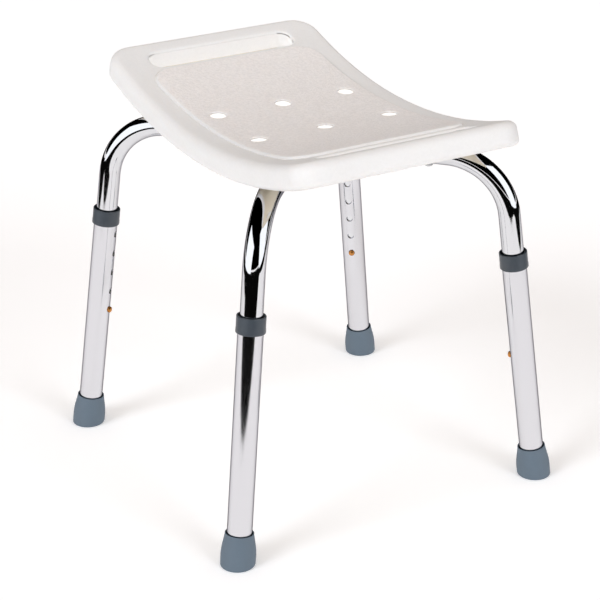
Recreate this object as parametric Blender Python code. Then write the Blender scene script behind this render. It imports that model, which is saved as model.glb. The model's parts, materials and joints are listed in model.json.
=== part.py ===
"""Backless shower stool: a saddle-shaped blow-moulded seat on four telescoping tube legs.

Metres, Z up. The origin is on the floor under the middle of the seat. The sitter's left and right
are -X and +X, and the front of the stool faces -Y.
"""

from math import cos, pi, radians, sin, sqrt, tan

import bmesh
import bpy
from mathutils import Vector

# Fit between pieces, and the sides of every hole a snap button fits in
GAP = 0.0003
HOLE_SIDES = 10

# Seat: lengths are along the saddle curve
SEAT_LENGTH = 0.484
SEAT_DEPTH = 0.287
SEAT_THICKNESS = 0.028
SEAT_HEIGHT = 0.430
SADDLE_RADIUS = 0.640
SEAT_CORNER = 0.032
TOP_EDGE = 0.010
BOTTOM_EDGE = 0.006
SEAT_WALL = 0.0025
PAD_RISE = 0.003
PAD_CORNER = 0.028
PAD_FRONT_MARGIN = 0.030
SLOT_WIDTH = 0.030
SLOT_CORNER = 0.012
SLOT_RIM = 0.025
SLOT_TO_PAD = 0.008
SLOT_LENGTH_SHARE = 0.68
DRAIN_RADIUS = 0.010
DRAIN_COLUMNS = 0.20
DRAIN_ROWS = 0.30
BLOW_PIN_RADIUS = 0.005

# Legs: foot centres on the floor, and how far the legs lean outwards going down
FOOT_X = 0.200
FOOT_Y = 0.204
LEAN_X = radians(3.4)
LEAN_Y = radians(6.3)
BEND_RADIUS = 0.075
RUN_SINK = 0.002
RUN_END = 0.030
INNER_RADIUS = 0.0127
INNER_WALL = 0.0012
OUTER_WALL = 0.0013
INNER_LENGTH_BELOW_BUTTON = 0.045

# Height adjustment, measured down the leg from where the bend starts
BEND_TO_COLLAR = 0.0464
COLLAR_TO_BUTTON = 0.1336
HOLE_PITCH = 0.0254
HOLE_COUNT = 5

# Collar and tip on the outer tube
COLLAR_HEIGHT = 0.0195
COLLAR_WALL = 0.0021
COLLAR_STEP = 0.0012
COLLAR_MOUTH = 0.0032
TIP_HEIGHT = 0.0388
TIP_WALL = 0.0019
TIP_MOUTH = 0.0009
TIP_FLARE = 0.0036
TIP_FLOOR = 0.008
WASHER_THICKNESS = 0.0015

# Snap button and its spring clip
BUTTON_RADIUS = 0.0038
BUTTON_PROUD = 0.0035
FLANGE_LEDGE = 0.0012
FLANGE_THICKNESS = 0.0010
CLIP_WIDTH = 0.008
CLIP_THICKNESS = 0.0006

# Screws, inserts and end plugs
SCREW_FROM_END = 0.032
SCREW_FROM_BEND = 0.021
SCREW_RADIUS = 0.0029
SCREW_CLEARANCE = 0.0012
SCREW_LEDGE = 0.0027
SCREW_HEAD_HEIGHT = 0.0032
SCREW_SHORT_OF_INSERT = 0.0008
INSERT_WALL = 0.0014
INSERT_LENGTH = 0.009
BOSS_WALL = 0.0030
PLUG_FLANGE = 0.002
PLUG_LENGTH = 0.010

UP = Vector((0, 0, 1))
OUTER_BORE = INNER_RADIUS + GAP
OUTER_RADIUS = OUTER_BORE + OUTER_WALL
INNER_BORE = INNER_RADIUS - INNER_WALL
RUN_HEIGHT = SEAT_HEIGHT - SEAT_THICKNESS + RUN_SINK
HOLE_RADIUS = (BUTTON_RADIUS + GAP) / cos(pi / HOLE_SIDES)
FLANGE_RADIUS = BUTTON_RADIUS + FLANGE_LEDGE
INSERT_RADIUS = SCREW_RADIUS + GAP + INSERT_WALL
SCREW_LENGTH = 2 * INNER_RADIUS + 3 * GAP + INSERT_LENGTH - SCREW_SHORT_OF_INSERT
CORNERS = {
    "front_left": (-1, -1),
    "front_right": (1, -1),
    "rear_right": (1, 1),
    "rear_left": (-1, 1),
}

for old in list(bpy.data.objects):
    bpy.data.objects.remove(old, do_unlink=True)

cutters = bpy.data.collections.new("cutters")
bpy.context.scene.collection.children.link(cutters)


# ---------------------------------------------------------------- materials

def plain_material(name, colour, metallic, roughness):
    material = bpy.data.materials.new(name)
    material.use_nodes = True
    shader = material.node_tree.nodes["Principled BSDF"]
    shader.inputs["Base Color"].default_value = (*colour, 1)
    shader.inputs["Metallic"].default_value = metallic
    shader.inputs["Roughness"].default_value = roughness
    return material


hdpe = plain_material("hdpe", (0.80, 0.77, 0.72), 0, 0.45)
chromed_steel = plain_material("chromed_steel", (0.80, 0.80, 0.82), 1, 0.08)
aluminium = plain_material("aluminium", (0.78, 0.79, 0.80), 1, 0.22)
collar_plastic = plain_material("collar_plastic", (0.11, 0.13, 0.15), 0, 0.4)
tip_rubber = plain_material("tip_rubber", (0.16, 0.20, 0.23), 0, 0.7)
brass = plain_material("brass", (0.65, 0.38, 0.14), 1, 0.25)
zinc_steel = plain_material("zinc_steel", (0.62, 0.62, 0.63), 1, 0.35)
spring_steel = plain_material("spring_steel", (0.50, 0.51, 0.53), 1, 0.3)
plug_plastic = plain_material("plug_plastic", (0.05, 0.05, 0.055), 0, 0.5)


# ---------------------------------------------------------------- mesh helpers

def place(name, mesh, origin, material):
    """Put a mesh made in world coordinates into the scene, with its origin at the given point."""
    work = bmesh.new()
    work.from_mesh(mesh)
    bmesh.ops.translate(work, vec=-origin, verts=work.verts)
    bmesh.ops.recalc_face_normals(work, faces=work.faces)
    work.to_mesh(mesh)
    work.free()
    piece = bpy.data.objects.new(name, mesh)
    piece.location = origin
    if material:
        mesh.materials.append(material)
        bpy.context.scene.collection.objects.link(piece)
    else:
        cutters.objects.link(piece)
        piece.hide_render = True
        piece.display_type = "WIRE"
    return piece


def join_rings(work, rings, closed):
    """Bridge rings of points, then either close the loft on itself or cap both ends."""
    made = [[work.verts.new(point) for point in ring] for ring in rings]
    count = len(rings[0])
    pairs = list(zip(made, made[1:] + made[:1])) if closed else list(zip(made, made[1:]))
    for lower, upper in pairs:
        for k in range(count):
            face = work.faces.new((lower[k], lower[(k + 1) % count], upper[(k + 1) % count], upper[k]))
            face.smooth = True
    if not closed:
        work.faces.new(made[0])
        work.faces.new(made[-1])


def loft(name, rings, origin, material, closed=False):
    work = bmesh.new()
    join_rings(work, rings, closed)
    mesh = bpy.data.meshes.new(name)
    work.to_mesh(mesh)
    work.free()
    return place(name, mesh, origin, material)


def circle(centre, across, along, radius, sides):
    return [
        centre + across * radius * cos(2 * pi * k / sides) + along * radius * sin(2 * pi * k / sides)
        for k in range(sides)
    ]


def turned(name, profile, foot, axis, across, material, sides=20, closed=False, origin=None):
    """Turn a profile of (radius, distance along the axis) about the axis through foot."""
    along = axis.cross(across)
    rings = [circle(foot + axis * height, across, along, radius, sides) for radius, height in profile]
    return loft(name, rings, foot if origin is None else origin, material, closed)


def rods(name, ends, radius, sides):
    """One cutter made of separate cylinders, each from one point to another."""
    work = bmesh.new()
    for low, high in ends:
        axis = (high - low).normalized()
        across = axis.orthogonal().normalized()
        along = axis.cross(across)
        join_rings(work, [circle(end, across, along, radius, sides) for end in (low, high)], False)
    mesh = bpy.data.meshes.new(name)
    work.to_mesh(mesh)
    work.free()
    return place(name, mesh, Vector((0, 0, 0)), None)


def combine(piece, tool, operation="DIFFERENCE"):
    step = piece.modifiers.new(tool.name, "BOOLEAN")
    step.operation = operation
    step.solver = "EXACT"
    step.object = tool


# ---------------------------------------------------------------- seat

def on_saddle(along, across, depth):
    """A point at a distance along the saddle curve, at y = across, and depth below the top skin."""
    turn = along / SADDLE_RADIUS
    reach = SADDLE_RADIUS + depth
    return Vector((reach * sin(turn), across, SEAT_HEIGHT + SADDLE_RADIUS - reach * cos(turn)))


def saddle_ring(middle, length, width, corner, inset, depth, corner_steps, straight_steps):
    """A rounded rectangle laid on the saddle curve, shrunk by inset."""
    centre_s, centre_y = length / 2 - corner, width / 2 - corner
    radius = corner - inset
    points = []
    for quarter, (sign_s, sign_y) in enumerate(((1, 1), (-1, 1), (-1, -1), (1, -1))):
        for k in range(corner_steps + 1):
            angle = pi / 2 * (quarter + k / corner_steps)
            s, y = sign_s * centre_s + radius * cos(angle), sign_y * centre_y + radius * sin(angle)
            points.append((s, y))
        if quarter in (0, 2):
            for k in range(1, straight_steps):
                run = sign_s * centre_s * (1 - 2 * k / straight_steps)
                points.append((run, sign_y * (centre_y + radius)))
    return [on_saddle(middle + s, y, depth) for s, y in points]


def saddle_slab(
    name, length, width, corner, profile, material, middle=0, corner_steps=4, straight_steps=12
):
    """A slab that follows the saddle. Its profile is a list of (inset, depth), top first."""
    work = bmesh.new()
    rings = []
    for inset, depth in profile:
        ring = saddle_ring(middle, length, width, corner, inset, depth, corner_steps, straight_steps)
        rings.append([work.verts.new(point) for point in ring])
    count = len(rings[0])
    for upper, lower in zip(rings, rings[1:]):
        for k in range(count):
            face = work.faces.new((upper[k], upper[(k + 1) % count], lower[(k + 1) % count], lower[k]))
            face.smooth = True
    half = corner_steps + 1 + straight_steps - 1 + corner_steps + 1
    for ring in (rings[0], rings[-1]):
        for k in range(half - 1):
            work.faces.new((ring[k], ring[k + 1], ring[count - 2 - k], ring[count - 1 - k])).smooth = True
    mesh = bpy.data.meshes.new(name)
    work.to_mesh(mesh)
    work.free()
    return place(name, mesh, on_saddle(middle, 0, 0), material)


def rolled_edge(radius_top, radius_bottom, thickness, steps=3):
    """Insets and depths down a wall with a rounded top and a rounded bottom edge."""
    turns = [pi / 2 * k / steps for k in range(steps + 1)]
    top = [(radius_top * (1 - sin(turn)), radius_top * (1 - cos(turn))) for turn in turns]
    bottom = [
        (radius_bottom * (1 - cos(turn)), thickness - radius_bottom * (1 - sin(turn))) for turn in turns
    ]
    return top + bottom


def grown_slots(name, growth, profile):
    """Cutters for the two hand slots, which lie near the ends of the seat."""
    return [
        saddle_slab(
            f"{name}_{side}",
            SLOT_WIDTH + 2 * growth,
            SEAT_DEPTH * SLOT_LENGTH_SHARE + 2 * growth,
            SLOT_CORNER + growth,
            profile,
            None,
            middle=sign * (SEAT_LENGTH / 2 - SLOT_RIM - SLOT_WIDTH / 2),
            corner_steps=3,
            straight_steps=1,
        )
        for side, sign in (("left", -1), ("right", 1))
    ]


def upright(x, y, low, high):
    return Vector((x, y, low)), Vector((x, y, high))


def tube_channels(name, growth):
    """A cutter with one downward-open channel under the seat for each leg's level run."""
    work = bmesh.new()
    radius = INNER_RADIUS + GAP + growth
    for sign_x, sign_y in CORNERS.values():
        run = run_direction(sign_x, sign_y)
        across = UP.cross(run)
        section = [(radius * cos(pi * k / 8), radius * sin(pi * k / 8)) for k in range(9)]
        section += [(-radius, -SEAT_THICKNESS), (radius, -SEAT_THICKNESS)]
        rings = [
            [-run * reach + UP * (RUN_HEIGHT + rise) + across * wide for wide, rise in section]
            for reach in (RUN_END - 0.008 - growth, RUN_END + 0.200)
        ]
        join_rings(work, rings, False)
    mesh = bpy.data.meshes.new(name)
    work.to_mesh(mesh)
    work.free()
    return place(name, mesh, Vector((0, 0, 0)), None)


def leg_axis(sign_x, sign_y):
    return Vector((-sign_x * tan(LEAN_X), -sign_y * tan(LEAN_Y), 1)).normalized()


def leg_knee(sign_x, sign_y):
    """Where the leg's centre line would meet the height of the level run."""
    axis = leg_axis(sign_x, sign_y)
    return Vector((sign_x * FOOT_X, sign_y * FOOT_Y, 0)) + axis * (RUN_HEIGHT / axis.z)


def run_direction(sign_x, sign_y):
    """The level direction from the leg's knee to the middle of the seat."""
    knee = leg_knee(sign_x, sign_y)
    return -Vector((knee.x, knee.y, 0)).normalized()


def bend_setback(sign_x, sign_y):
    """How far from the knee the bend starts, along the leg and along the level run alike."""
    return BEND_RADIUS * tan(leg_axis(sign_x, sign_y).angle(run_direction(sign_x, sign_y)) / 2)


def screw_reaches(sign_x, sign_y):
    """The two screws' distances from the middle of the seat."""
    bend_reach = leg_knee(sign_x, sign_y).xy.length - bend_setback(sign_x, sign_y)
    return RUN_END + SCREW_FROM_END, bend_reach - SCREW_FROM_BEND


seat = saddle_slab(
    "seat",
    SEAT_LENGTH,
    SEAT_DEPTH,
    SEAT_CORNER,
    rolled_edge(TOP_EDGE, BOTTOM_EDGE, SEAT_THICKNESS),
    hdpe,
)
pad = saddle_slab(
    "raised_pad",
    SEAT_LENGTH - 2 * (SLOT_RIM + SLOT_WIDTH + SLOT_TO_PAD),
    SEAT_DEPTH - 2 * PAD_FRONT_MARGIN,
    PAD_CORNER,
    [(0.0024, -PAD_RISE), (0.0009, -0.8 * PAD_RISE), (0, -0.4 * PAD_RISE), (0, 0.5 * PAD_RISE)],
    None,
)
combine(seat, pad, "UNION")

lip = [(-0.0034, -0.0012), (-0.0016, 0.0006), (-0.0005, 0.0018), (0, 0.0035)]
slot_profile = lip + [(inset, SEAT_THICKNESS - depth) for inset, depth in reversed(lip)]
for slot in grown_slots("hand_slot", 0, slot_profile):
    combine(seat, slot)

drain_spots = [
    (column * DRAIN_COLUMNS * SEAT_LENGTH / 2, row * DRAIN_ROWS * SEAT_DEPTH)
    for column in (-1, 1)
    for row in (-1, 0, 1)
]
seat_low, seat_high = SEAT_HEIGHT - 2 * SEAT_THICKNESS, SEAT_HEIGHT + 2 * SEAT_THICKNESS
drain_ends = [upright(x, y, seat_low, seat_high) for x, y in drain_spots]
combine(seat, rods("drain_holes", drain_ends, DRAIN_RADIUS, 12))
combine(seat, tube_channels("tube_channels", 0))

screw_spots = {
    (corner, number): -run_direction(*signs) * reach
    for corner, signs in CORNERS.items()
    for number, reach in enumerate(screw_reaches(*signs), 1)
}
INSERT_BOTTOM = RUN_HEIGHT + INNER_RADIUS + 2 * GAP
pocket_top = INSERT_BOTTOM + INSERT_LENGTH + GAP
pocket_ends = [upright(spot.x, spot.y, RUN_HEIGHT, pocket_top) for spot in screw_spots.values()]
combine(seat, rods("insert_pockets", pocket_ends, INSERT_RADIUS + GAP, 12))

# The seat is blown hollow. Its cavity keeps clear of every hole, channel and screw boss.
cavity = saddle_slab(
    "seat_cavity",
    SEAT_LENGTH - 2 * SEAT_WALL,
    SEAT_DEPTH - 2 * SEAT_WALL,
    SEAT_CORNER - SEAT_WALL,
    [
        (inset, depth + SEAT_WALL)
        for inset, depth in rolled_edge(
            TOP_EDGE - SEAT_WALL, BOTTOM_EDGE - SEAT_WALL, SEAT_THICKNESS - 2 * SEAT_WALL, 2
        )
    ],
    None,
    corner_steps=3,
)
for slot in grown_slots("slot_wall", SEAT_WALL, [(0, -SEAT_WALL), (0, SEAT_THICKNESS + SEAT_WALL)]):
    combine(cavity, slot)
combine(cavity, rods("drain_walls", drain_ends, DRAIN_RADIUS + SEAT_WALL, 10))
combine(cavity, tube_channels("channel_walls", SEAT_WALL))
boss_ends = [upright(spot.x, spot.y, RUN_HEIGHT - SEAT_WALL, seat_high) for spot in screw_spots.values()]
combine(cavity, rods("screw_bosses", boss_ends, INSERT_RADIUS + GAP + BOSS_WALL, 8))
combine(seat, cavity)
blow_pin_ends = [upright(0, 0, seat_low, SEAT_HEIGHT - SEAT_THICKNESS / 2)]
combine(seat, rods("blow_pin_hole", blow_pin_ends, BLOW_PIN_RADIUS, 12))


# ---------------------------------------------------------------- legs

SIDES = 16
FLAT = cos(pi / SIDES)


def bent_tube(name, path, side, radius, wall, material):
    """A hollow tube along (point, direction) stations that lie in one plane, whose normal is side."""
    def rings(size):
        return [circle(point, side.cross(heading), side, size, SIDES) for point, heading in path]

    outside, inside = rings(radius), rings(radius - wall)
    return loft(name, outside + inside[::-1], path[0][0], material, closed=True)


for corner, (sign_x, sign_y) in CORNERS.items():
    foot = Vector((sign_x * FOOT_X, sign_y * FOOT_Y, 0))
    axis = leg_axis(sign_x, sign_y)
    knee = leg_knee(sign_x, sign_y)
    run = run_direction(sign_x, sign_y)
    side = axis.cross(run).normalized()
    inward = side.cross(axis)

    # Upper tube: straight shank, one bend, and a level run to the middle of the seat
    bend = axis.angle(run)
    bend_start = knee - axis * bend_setback(sign_x, sign_y)
    collar_top = (bend_start - foot).length - BEND_TO_COLLAR
    button_height = collar_top - COLLAR_TO_BUTTON
    bend_centre = bend_start + inward * BEND_RADIUS
    steps = 7
    path = [(foot + axis * (button_height - INNER_LENGTH_BELOW_BUTTON), axis)]
    for k in range(steps + 1):
        turn = bend * k / steps
        heading = axis * cos(turn) + inward * sin(turn)
        path.append((bend_centre + (axis * sin(turn) - inward * cos(turn)) * BEND_RADIUS, heading))
    run_end = Vector((0, 0, RUN_HEIGHT)) - run * RUN_END
    path.append((run_end, run))
    upper = bent_tube(f"upper_tube_{corner}", path, side, INNER_RADIUS, INNER_WALL, chromed_steel)
    button_centre = foot + axis * button_height
    drilled = [(button_centre + inward * INNER_BORE / 2, button_centre + inward * 1.3 * INNER_RADIUS)]
    combine(upper, rods(f"button_hole_{corner}", drilled, HOLE_RADIUS, HOLE_SIDES))
    drilled = [
        upright(spot.x, spot.y, RUN_HEIGHT - 1.5 * INNER_RADIUS, RUN_HEIGHT + 1.5 * INNER_RADIUS)
        for spot in (screw_spots[corner, 1], screw_spots[corner, 2])
    ]
    combine(upper, rods(f"screw_holes_{corner}", drilled, SCREW_RADIUS + SCREW_CLEARANCE, 8))

    # Lower tube: it slides over the upper one, with a row of holes that face the middle
    tube_low = TIP_FLOOR + WASHER_THICKNESS + 2 * GAP
    tube_high = collar_top - COLLAR_MOUTH - COLLAR_STEP - GAP
    lower = turned(
        f"lower_tube_{corner}",
        [
            (OUTER_RADIUS, tube_low),
            (OUTER_RADIUS, tube_high),
            (OUTER_BORE, tube_high),
            (OUTER_BORE, tube_low),
        ],
        foot,
        axis,
        inward,
        aluminium,
        SIDES,
        closed=True,
    )
    hole_ends = []
    for k in range(HOLE_COUNT):
        centre = foot + axis * (button_height + k * HOLE_PITCH)
        hole_ends.append((centre + inward * INNER_BORE / 2, centre + inward * 1.4 * OUTER_RADIUS))
    combine(lower, rods(f"lower_holes_{corner}", hole_ends, HOLE_RADIUS, HOLE_SIDES))

    # Collar: pressed over the top of the lower tube. A step inside it closes the gap to the upper
    # tube, below an open mouth.
    collar_low = collar_top - COLLAR_HEIGHT
    collar_bore, collar_out = OUTER_RADIUS + GAP, OUTER_RADIUS + GAP + COLLAR_WALL
    turned(
        f"collar_{corner}",
        [
            (collar_bore, collar_low),
            (collar_out - 0.0008, collar_low),
            (collar_out, collar_low + 0.0010),
            (collar_out, collar_top - 0.0014),
            (collar_out - 0.0012, collar_top),
            (collar_bore, collar_top - 0.0004),
            (collar_bore, collar_top - COLLAR_MOUTH),
            (OUTER_BORE, collar_top - COLLAR_MOUTH),
            (OUTER_BORE, collar_top - COLLAR_MOUTH - COLLAR_STEP),
            (collar_bore, collar_top - COLLAR_MOUTH - COLLAR_STEP),
        ],
        foot,
        axis,
        inward,
        collar_plastic,
        SIDES,
        closed=True,
    )

    # Rubber tip: it flares downwards and its sole is cut level with the floor
    tip_bore, rim = OUTER_RADIUS + GAP, OUTER_RADIUS + GAP + TIP_WALL
    along = axis.cross(inward)
    tip_profile = [
        (tip_bore, TIP_FLOOR),
        (tip_bore, TIP_HEIGHT - 0.0035),
        (tip_bore + TIP_MOUTH, TIP_HEIGHT),
        (rim - 0.0004, TIP_HEIGHT),
        (rim, TIP_HEIGHT - 0.0008),
        (rim + 0.40 * TIP_FLARE, 0.74 * TIP_HEIGHT),
        (rim + 0.82 * TIP_FLARE, 0.50 * TIP_HEIGHT),
        (rim + TIP_FLARE, 0.28 * TIP_HEIGHT),
    ]
    tip_rings = [circle(foot + axis * high, inward, along, radius, SIDES) for radius, high in tip_profile]
    for radius, level in ((rim + 0.95 * TIP_FLARE, 0.0016), (rim + 0.95 * TIP_FLARE - 0.0016, 0)):
        ring = circle(foot, inward, along, radius, SIDES)
        tip_rings.append([point + axis * ((level - point.z) / axis.z) for point in ring])
    loft(f"rubber_tip_{corner}", tip_rings, foot, tip_rubber)

    # Steel washer: it keeps the tube from cutting through the rubber
    washer_low = TIP_FLOOR + GAP
    turned(
        f"tip_washer_{corner}",
        [
            (OUTER_RADIUS, washer_low),
            (OUTER_RADIUS, washer_low + WASHER_THICKNESS),
            (0.006, washer_low + WASHER_THICKNESS),
            (0.006, washer_low),
        ],
        foot,
        axis,
        inward,
        zinc_steel,
        12,
        closed=True,
    )

    # Snap button: a brass pin with a flange that stays inside the upper tube
    flange_top = sqrt((INNER_BORE * FLAT) ** 2 - FLANGE_RADIUS**2) - GAP
    flange_low = flange_top - FLANGE_THICKNESS
    turned(
        f"snap_button_{corner}",
        [
            (FLANGE_RADIUS, flange_low),
            (FLANGE_RADIUS, flange_top),
            (BUTTON_RADIUS, flange_top),
            (BUTTON_RADIUS, OUTER_RADIUS + 0.6 * BUTTON_PROUD),
            (0.8 * BUTTON_RADIUS, OUTER_RADIUS + 0.9 * BUTTON_PROUD),
            (0.4 * BUTTON_RADIUS, OUTER_RADIUS + BUTTON_PROUD),
        ],
        button_centre,
        inward,
        axis,
        brass,
        12,
    )

    # Spring clip: a strip folded into a V inside the upper tube, with the button on one leaf
    near = flange_low - GAP - CLIP_THICKNESS / 2
    far = GAP + CLIP_THICKNESS / 2 - sqrt((INNER_BORE * FLAT) ** 2 - (CLIP_WIDTH / 2) ** 2)
    fold = [
        (near, 0.007),
        (near, -0.007),
        (0.28 * near, -0.028),
        (0, -0.0300),
        (0.28 * far, -0.028),
        (far, -0.007),
        (far, 0.007),
    ]
    stations = [button_centre + inward * out + axis * high for out, high in fold]
    strip = []
    for k, station in enumerate(stations):
        heading = (stations[min(k + 1, len(fold) - 1)] - stations[max(k - 1, 0)]).normalized()
        thick = heading.cross(side) * CLIP_THICKNESS / 2
        wide = side * CLIP_WIDTH / 2
        front, back = station + thick, station - thick
        strip.append([front + wide, back + wide, back - wide, front - wide])
    loft(f"spring_clip_{corner}", strip, button_centre, spring_steel)

    # End plug: it closes the upper tube's inner end
    turned(
        f"end_plug_{corner}",
        [
            (INNER_BORE - 4 * GAP, -PLUG_LENGTH),
            (INNER_BORE - 2 * GAP, -0.9 * PLUG_LENGTH),
            (INNER_BORE - 2 * GAP, GAP),
            (INNER_RADIUS - GAP, GAP),
            (INNER_RADIUS - GAP, PLUG_FLANGE - GAP),
            (INNER_RADIUS - 3 * GAP, PLUG_FLANGE + GAP),
        ],
        run_end,
        run,
        side,
        plug_plastic,
        12,
    )


# ---------------------------------------------------------------- fixings under the seat

SCREW_SIDES = 12


def socket_ring(centre, across_flats):
    """A hexagon with as many points as the screw's round sections."""
    points = []
    for k in range(SCREW_SIDES):
        angle = 2 * pi * k / SCREW_SIDES
        reach = across_flats / 2 / (cos(pi / 6) if k % 2 == 0 else 1)
        points.append(centre + Vector((cos(angle), sin(angle), 0)) * reach)
    return points


across, along = Vector((1, 0, 0)), Vector((0, 1, 0))
for (corner, number), spot in screw_spots.items():
    bearing = spot + UP * (RUN_HEIGHT - INNER_RADIUS - GAP)
    head_low, head_radius = -SCREW_HEAD_HEIGHT, SCREW_RADIUS + SCREW_LEDGE
    rings = [
        socket_ring(bearing + UP * (head_low + 0.0018), 0.0040),
        socket_ring(bearing + UP * head_low, 0.0040),
    ]
    for radius, height in (
        (0.72 * head_radius, head_low),
        (head_radius, 0.45 * head_low),
        (head_radius, 0),
        (SCREW_RADIUS, 0),
        (SCREW_RADIUS, SCREW_LENGTH - 0.0007),
        (0.75 * SCREW_RADIUS, SCREW_LENGTH),
    ):
        rings.append(circle(bearing + UP * height, across, along, radius, SCREW_SIDES))
    loft(f"seat_screw_{corner}_{number}", rings, bearing, zinc_steel)
    turned(
        f"insert_{corner}_{number}",
        [
            (SCREW_RADIUS + GAP, 0),
            (SCREW_RADIUS + GAP, INSERT_LENGTH),
            (INSERT_RADIUS, INSERT_LENGTH),
            (INSERT_RADIUS, 0),
        ],
        spot + UP * INSERT_BOTTOM,
        UP,
        across,
        brass,
        SCREW_SIDES,
        closed=True,
    )
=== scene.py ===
"""Looks for a backless shower stool: a saddle-curved moulded seat on four telescoping tube legs.

Metres, Z up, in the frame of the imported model. The front of the stool faces -Y, and the sitter's
left and right are -X and +X.
"""

import json
from math import asin, ceil, cos, hypot, pi, radians, sin, sqrt, tan

import bmesh
import bpy
from mathutils import Matrix, Vector
from mathutils.geometry import delaunay_2d_cdt


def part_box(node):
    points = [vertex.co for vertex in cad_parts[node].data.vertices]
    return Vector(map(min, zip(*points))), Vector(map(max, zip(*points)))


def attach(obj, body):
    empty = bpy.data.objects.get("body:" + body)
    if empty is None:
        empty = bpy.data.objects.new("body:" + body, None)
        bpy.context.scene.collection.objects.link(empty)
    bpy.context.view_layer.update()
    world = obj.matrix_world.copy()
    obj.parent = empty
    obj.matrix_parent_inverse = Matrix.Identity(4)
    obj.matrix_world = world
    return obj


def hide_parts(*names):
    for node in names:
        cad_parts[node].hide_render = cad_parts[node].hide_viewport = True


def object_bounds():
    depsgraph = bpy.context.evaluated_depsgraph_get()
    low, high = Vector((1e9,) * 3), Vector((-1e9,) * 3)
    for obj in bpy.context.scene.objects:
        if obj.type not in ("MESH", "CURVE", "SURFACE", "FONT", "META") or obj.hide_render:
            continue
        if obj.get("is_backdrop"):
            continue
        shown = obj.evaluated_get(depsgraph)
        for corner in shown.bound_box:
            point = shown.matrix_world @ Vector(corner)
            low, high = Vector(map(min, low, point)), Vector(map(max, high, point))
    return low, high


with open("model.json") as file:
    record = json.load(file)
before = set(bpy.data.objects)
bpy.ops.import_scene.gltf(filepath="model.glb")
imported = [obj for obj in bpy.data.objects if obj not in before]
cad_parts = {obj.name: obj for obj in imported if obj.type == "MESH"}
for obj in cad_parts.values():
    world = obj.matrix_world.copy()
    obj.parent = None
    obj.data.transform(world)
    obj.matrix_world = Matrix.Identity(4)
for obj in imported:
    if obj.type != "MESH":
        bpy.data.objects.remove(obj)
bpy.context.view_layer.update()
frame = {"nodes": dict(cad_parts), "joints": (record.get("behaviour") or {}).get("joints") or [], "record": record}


# ---------------------------------------------------------------- seat
# One hollow panel, blow moulded in off-white high-density polyethylene. The mould gives it a
# saddle curve, a raised grained pad, two hand slots and six drain holes, all with rolled edges,
# and channels underneath that the leg tubes lie in.

MM = 0.001
SEAT_LENGTH = 484 * MM
SEAT_THICKNESS = 28 * MM
SADDLE_RADIUS = 640 * MM
SEAT_CORNER = 32 * MM
TOP_ROLL = 10 * MM
BOTTOM_ROLL = 6 * MM
PAD_RISE = 3 * MM
PAD_ROLL = 3 * MM
PAD_CORNER = 28 * MM
PAD_LENGTH = 358 * MM
PAD_MARGIN = 30 * MM
SLOT_CENTRE = 202 * MM
SLOT_WIDTH = 30 * MM
SLOT_SHARE = 0.68
SLOT_CORNER = 12 * MM
SLOT_ROLL = 3.5 * MM
DRAIN_X = 48.4 * MM
DRAIN_Y = 86.1 * MM
DRAIN_RADIUS = 9.3 * MM
DRAIN_ROLL = 1.6 * MM
CHANNEL_RADIUS = 13 * MM
CHANNEL_START = 22 * MM
CHANNEL_LENGTH = 185 * MM
BLOW_PIN_RADIUS = 5 * MM
BLOW_PIN_DEPTH = 10 * MM
GRID = 8 * MM

seat_low, seat_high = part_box("seat")
SEAT_DEPTH = seat_high.y - seat_low.y
SADDLE_AXIS = seat_low.z + SEAT_THICKNESS + SADDLE_RADIUS
plug_low, plug_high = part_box("end_plug_front_left")
RUN_HEIGHT = (plug_low.z + plug_high.z) / 2
CORNERS = ("front_left", "front_right", "rear_right", "rear_left")
soles = {m["name"]: Vector(m["pos_m"]) for m in frame["record"]["mounts"]}
slides = {j["name"]: -Vector(j["axis"]).normalized() for j in frame["joints"]}


def leg_lines(corner):
    """A leg's foot, its upward axis, and the level direction from its knee to the seat's middle."""
    foot, axis = soles[f"sole_{corner}"], slides[f"leg_slide_{corner}"]
    knee = foot + axis * (RUN_HEIGHT / axis.z)
    return foot, axis, knee, -Vector((knee.x, knee.y, 0)).normalized()


def on_saddle(s, y, depth):
    """A point at a length s along the saddle curve, and a depth below the skin."""
    reach = SADDLE_RADIUS + depth
    return Vector((reach * sin(s / SADDLE_RADIUS), y, SADDLE_AXIS - reach * cos(s / SADDLE_RADIUS)))


def distance(shape, s, y):
    """How far a point is outside a rounded rectangle. It is negative inside."""
    centre_s, centre_y, half_s, half_y, corner = shape
    over_s = abs(s - centre_s) - half_s + corner
    over_y = abs(y - centre_y) - half_y + corner
    return hypot(max(over_s, 0), max(over_y, 0)) + min(max(over_s, over_y), 0) - corner


def contour(shape, grow):
    """Points round a rounded rectangle grown by a length. Their count doesn't depend on it."""
    centre_s, centre_y, half_s, half_y, corner = shape
    arc = max(6, ceil(pi / 2 * corner / (4 * MM)))
    points = []
    for quarter, (sign_s, sign_y) in enumerate(((1, 1), (-1, 1), (-1, -1), (1, -1))):
        flat_s, flat_y = half_s - corner, half_y - corner
        length = 2 * (flat_y if quarter % 2 else flat_s)
        steps = round(length / GRID)
        for k in range(arc + (1 if steps else 0)):
            turn = pi / 2 * (quarter + k / arc)
            s = centre_s + sign_s * flat_s + (corner + grow) * cos(turn)
            points.append((s, centre_y + sign_y * flat_y + (corner + grow) * sin(turn)))
        start_s, start_y = points[-1]
        for k in range(1, steps):
            run = length * k / steps
            turn = pi / 2 * (quarter + 1)
            points.append((start_s + run * cos(turn + pi / 2), start_y + run * sin(turn + pi / 2)))
    return points


def roll(reach, radius):
    """The drop of a rolled edge at a distance in from where the edge stands upright."""
    if reach >= radius:
        return 0
    return radius - sqrt(max(radius**2 - (radius - reach) ** 2, 0))


def roll_offsets(radius, steps=6):
    """Distances in from an upright edge that divide its roll into equal turns."""
    return [radius * (1 - cos(pi / 2 * k / steps)) for k in range(steps + 1)]


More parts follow.
